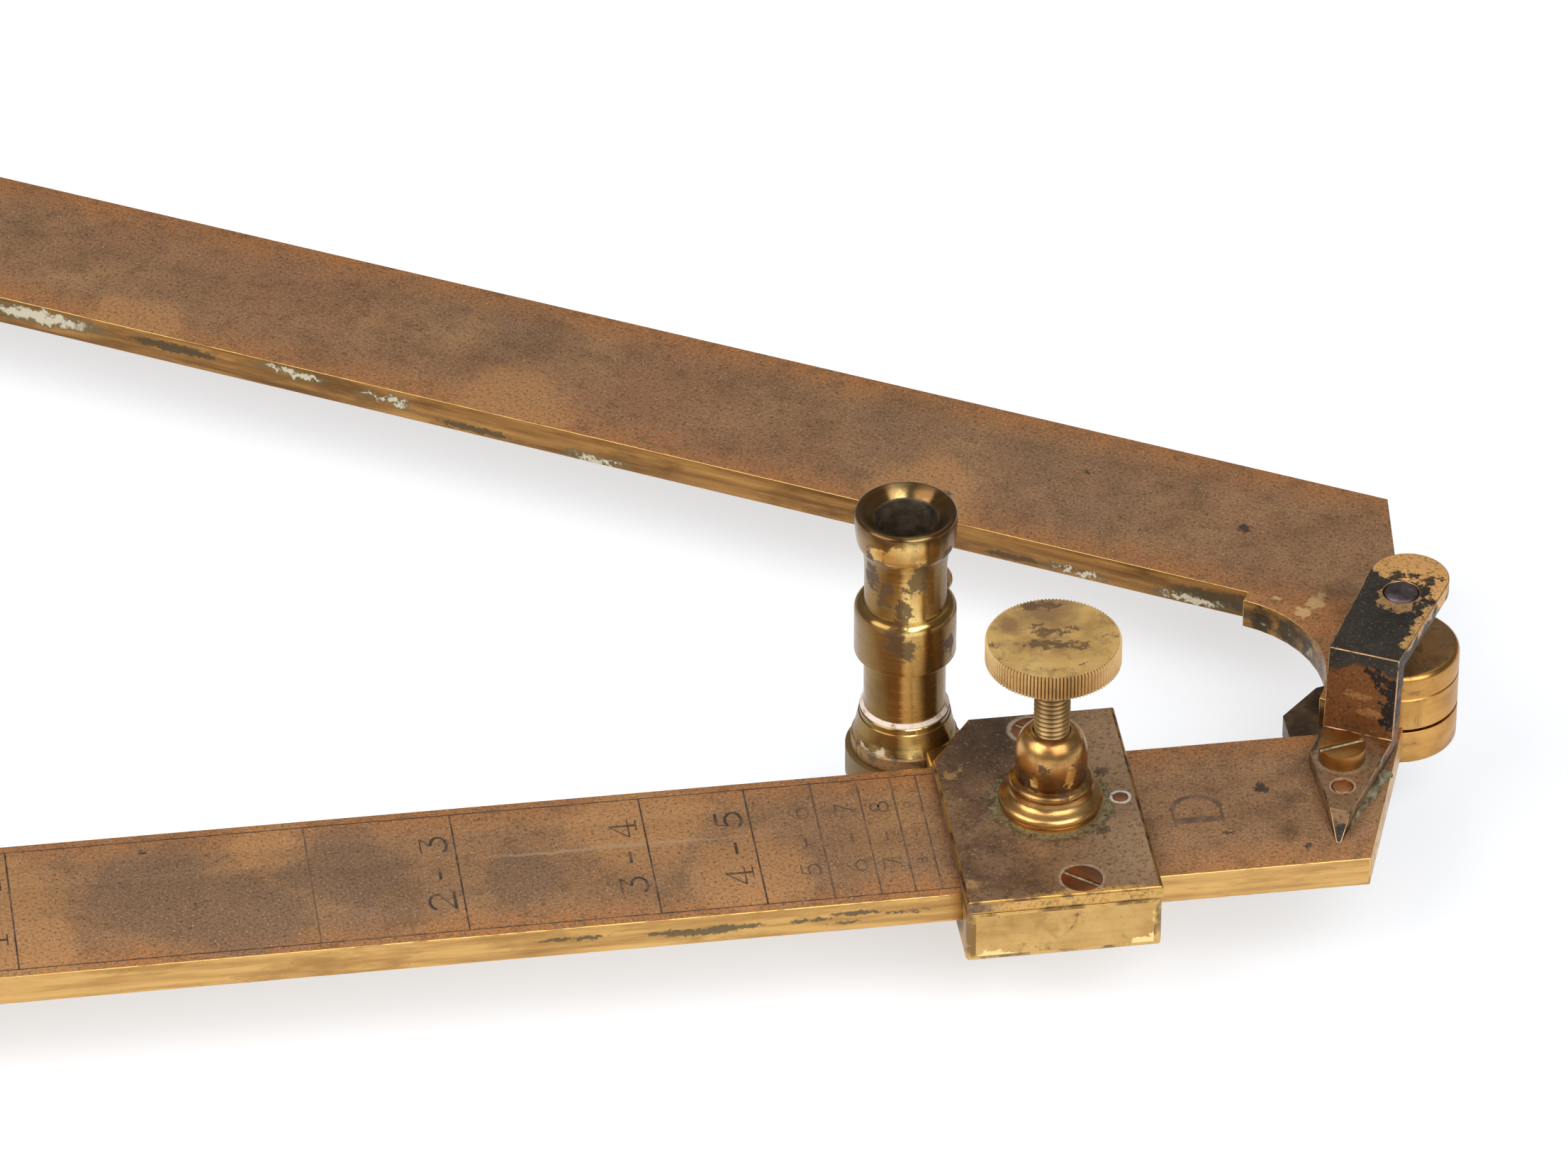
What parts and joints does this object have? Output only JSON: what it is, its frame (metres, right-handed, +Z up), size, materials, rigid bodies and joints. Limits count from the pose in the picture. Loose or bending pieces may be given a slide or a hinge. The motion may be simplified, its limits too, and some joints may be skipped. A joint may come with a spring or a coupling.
{
  "type": "drawing pantograph",
  "caption": "Brass drawing pantograph: pivoted arms in a parallelogram with clamped sliders, tubes for pencil, tracer and fulcrum pin, and bone castors.",
  "frame": {"origin": "on the table under the centre of the parallelogram", "axes": "+X from the main joint to the open corner, +Z up"},
  "size_m": [0.8217, 0.4636, 0.0591],
  "materials": {
    "arm_brass": "brown patina, matt",
    "box_brass": "worn satin",
    "turned_brass": "polished, tarnished in patches",
    "cast_brass": "dull, as cast",
    "bronzed_brass": "dark bronzed, worn",
    "screw_brass": "coppery tarnish",
    "pivot_steel": "grey, worn",
    "wheel_bone": "smooth bone"
  },
  "bodies": {
    "arm_b": {"arm_b": "arm_brass", "barrel_a": "turned_brass", "barrel_cap_a": "turned_brass", "pivot_a": "pivot_steel", "pivot_p": "turned_brass"},
    "arm_c": {"arm_c": "arm_brass", "bearing_a": "cast_brass", "cock_a": "bronzed_brass", "cock_screw_a": "screw_brass", "steady_pin_a": "screw_brass", "pivot_q": "turned_brass", "tube_foot_c": "turned_brass", "tube_c": "turned_brass"},
    "arm_d": {"arm_d": "arm_brass", "bearing_r": "cast_brass", "cock_r": "bronzed_brass", "cock_screw_r": "screw_brass", "steady_pin_r": "screw_brass"},
    "arm_plain": {"arm_plain": "arm_brass", "barrel_r": "turned_brass", "barrel_cap_r": "turned_brass", "pivot_r": "pivot_steel"},
    "slider_d": {"slider_box_d": "box_brass", "slider_plate_d": "bronzed_brass", "plate_screws_d": "screw_brass", "spring_rivet_d": "screw_brass", "clamp_spring_d": "cast_brass", "clamp_boss_d": "turned_brass", "tube_foot_d": "turned_brass", "tube_d": "turned_brass"},
    "clamp_pad_d": {"clamp_pad_d": "screw_brass"},
    "thumbscrew_d": {"thumbscrew_d": "turned_brass"},
    "tube_screw_d": {"tube_screw_d": "turned_brass"},
    "slider_b": {"slider_box_b": "box_brass", "slider_plate_b": "bronzed_brass", "plate_screws_b": "screw_brass", "spring_rivet_b": "screw_brass", "clamp_spring_b": "cast_brass", "clamp_boss_b": "turned_brass", "tube_foot_b": "turned_brass", "tube_b": "turned_brass"},
    "clamp_pad_b": {"clamp_pad_b": "screw_brass"},
    "thumbscrew_b": {"thumbscrew_b": "turned_brass"},
    "tube_screw_b": {"tube_screw_b": "turned_brass"},
    "tube_screw_c": {"tube_screw_c": "turned_brass"},
    "castor_a": {"castor_fork_a": "cast_brass", "castor_axle_a": "pivot_steel"},
    "wheel_a": {"castor_wheel_a": "wheel_bone"},
    "castor_p": {"castor_fork_p": "cast_brass", "castor_axle_p": "pivot_steel"},
    "wheel_p": {"castor_wheel_p": "wheel_bone"},
    "castor_q": {"castor_fork_q": "cast_brass", "castor_axle_q": "pivot_steel"},
    "wheel_q": {"castor_wheel_q": "wheel_bone"},
    "castor_b": {"castor_fork_b": "cast_brass", "castor_axle_b": "pivot_steel"},
    "wheel_b": {"castor_wheel_b": "wheel_bone"},
    "castor_c": {"castor_fork_c": "cast_brass", "castor_axle_c": "pivot_steel"},
    "wheel_c": {"castor_wheel_c": "wheel_bone"}
  },
  "joints": [
    {"name": "fold", "type": "hinge", "parent": "arm_b", "child": "arm_c", "pos_m": [-0.40279, 0, 0.02585], "axis": [0, 0, 1], "range_deg": [-14, 90]},
    {"name": "middle_p", "type": "hinge", "parent": "arm_b", "child": "arm_d", "pos_m": [0, -0.10793, 0.0179], "axis": [0, 0, 1], "range_deg": [-14, 90]},
    {"name": "middle_q", "type": "hinge", "parent": "arm_c", "child": "arm_plain", "pos_m": [0, 0.10793, 0.0179], "axis": [0, 0, 1], "range_deg": [-90, 14]},
    {"name": "slide_d", "type": "slide", "parent": "arm_d", "child": "slider_d", "axis": [0.9659, 0.2588, 0], "range_m": [-0.177, 0.015]},
    {"name": "clamp_turn_d", "type": "hinge", "parent": "clamp_pad_d", "child": "thumbscrew_d", "pos_m": [0.36531, -0.0309, 0.04], "axis": [0, 0, 1], "range_deg": [0, 540]},
    {"name": "clamp_lift_d", "type": "slide", "parent": "slider_d", "child": "clamp_pad_d", "axis": [0, 0, 1], "range_m": [0, 0.0011]},
    {"name": "set_turn_d", "type": "hinge", "parent": "slider_d", "child": "tube_screw_d", "pos_m": [0.34677, -0.01501, 0.0313], "axis": [0.225, 0.9744, 0], "range_deg": [0, 360]},
    {"name": "slide_b", "type": "slide", "parent": "arm_b", "child": "slider_b", "axis": [0.9659, -0.2588, 0], "range_m": [-0.26, 0.01]},
    {"name": "clamp_turn_b", "type": "hinge", "parent": "clamp_pad_b", "child": "thumbscrew_b", "pos_m": [0.28823, -0.20602, 0.04795], "axis": [0, 0, 1], "range_deg": [0, 540]},
    {"name": "clamp_lift_b", "type": "slide", "parent": "slider_b", "child": "clamp_pad_b", "axis": [0, 0, 1], "range_m": [0, 0.0011]},
    {"name": "set_turn_b", "type": "hinge", "parent": "slider_b", "child": "tube_screw_b", "pos_m": [0.28012, -0.18299, 0.03925], "axis": [0.682, 0.7314, 0], "range_deg": [0, 360]},
    {"name": "set_turn_c", "type": "hinge", "parent": "arm_c", "child": "tube_screw_c", "pos_m": [0.33324, 0.19722, 0.04245], "axis": [0.682, -0.7314, 0], "range_deg": [0, 360]},
    {"name": "swivel_a", "type": "hinge", "parent": "arm_c", "child": "castor_a", "pos_m": [-0.40279, 0, 0.009], "axis": [0, 0, 1], "continuous": true},
    {"name": "roll_a", "type": "hinge", "parent": "castor_a", "child": "wheel_a", "pos_m": [-0.40714, -0.00117, 0.0045], "axis": [-0.2588, 0.9659, 0], "continuous": true},
    {"name": "swivel_p", "type": "hinge", "parent": "arm_b", "child": "castor_p", "pos_m": [0, -0.10793, 0.009], "axis": [0, 0, 1], "continuous": true},
    {"name": "roll_p", "type": "hinge", "parent": "castor_p", "child": "wheel_p", "pos_m": [-0.00435, -0.10909, 0.0045], "axis": [0.2588, -0.9659, 0], "continuous": true},
    {"name": "swivel_q", "type": "hinge", "parent": "arm_c", "child": "castor_q", "pos_m": [0, 0.10793, 0.009], "axis": [0, 0, 1], "continuous": true},
    {"name": "roll_q", "type": "hinge", "parent": "castor_q", "child": "wheel_q", "pos_m": [-0.00435, 0.10909, 0.0045], "axis": [0.2588, 0.9659, 0], "continuous": true},
    {"name": "swivel_b", "type": "hinge", "parent": "arm_b", "child": "castor_b", "pos_m": [0.31423, -0.21407, 0.009], "axis": [0, 0, 1], "continuous": true},
    {"name": "roll_b", "type": "hinge", "parent": "castor_b", "child": "wheel_b", "pos_m": [0.30989, -0.21291, 0.0045], "axis": [-0.2588, -0.9659, 0], "continuous": true},
    {"name": "swivel_c", "type": "hinge", "parent": "arm_c", "child": "castor_c", "pos_m": [0.31423, 0.21407, 0.009], "axis": [0, 0, 1], "continuous": true},
    {"name": "roll_c", "type": "hinge", "parent": "castor_c", "child": "wheel_c", "pos_m": [0.30989, 0.21291, 0.0045], "axis": [-0.2588, 0.9659, 0], "continuous": true}
  ],
  "couplings": [
    {"joint": "middle_p", "follows": "fold", "ratio": 1},
    {"joint": "middle_q", "follows": "fold", "ratio": -1},
    {"joint": "clamp_lift_d", "follows": "clamp_turn_d", "m_per_rad": 0.00011141},
    {"joint": "clamp_lift_b", "follows": "clamp_turn_b", "m_per_rad": 0.00011141}
  ]
}
